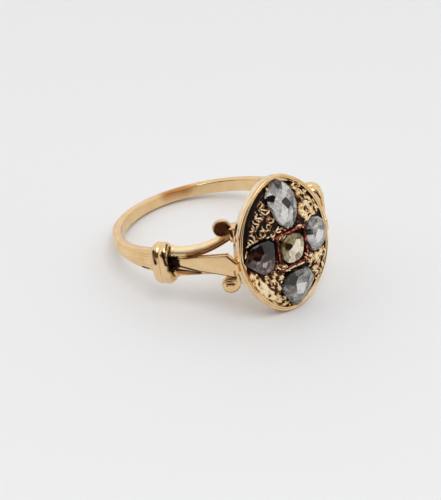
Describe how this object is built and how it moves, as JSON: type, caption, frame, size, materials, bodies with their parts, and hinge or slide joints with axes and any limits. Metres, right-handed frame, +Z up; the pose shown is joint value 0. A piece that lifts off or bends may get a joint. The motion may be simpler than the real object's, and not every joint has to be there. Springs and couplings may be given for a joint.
{
  "type": "marquise ring",
  "caption": "Gold marquise ring on its side: reeded band, rolled collars, split scroll shoulders, oval head with rose-cut stones round a square red setting.",
  "frame": {"origin": "on the floor under the middle of the ring's box, as it rests on its side", "axes": "+Z up; +X along the floor from the back of the hoop to the head; +Y across, from the shoulder shown in front in the picture to the far one"},
  "size_m": [0.0212, 0.019, 0.0125],
  "materials": {
    "gold": "polished yellow-rose gold, softly worn",
    "oxidised_gold": "gold relief over dark oxidised recesses",
    "red_gold": "dark red tarnished metal",
    "grey_stone": "facetted pale grey stone on foil",
    "dark_stone": "facetted brown-black stone",
    "olive_stone": "facetted pale olive stone"
  },
  "bodies": {
    "root": {"ring_mount": "gold", "stone_plate": "oxidised_gold", "centre_collet": "red_gold", "stone_top": "grey_stone", "stone_bottom": "grey_stone", "stone_left": "dark_stone", "stone_right": "grey_stone", "stone_centre": "olive_stone"}
  },
  "joints": []
}
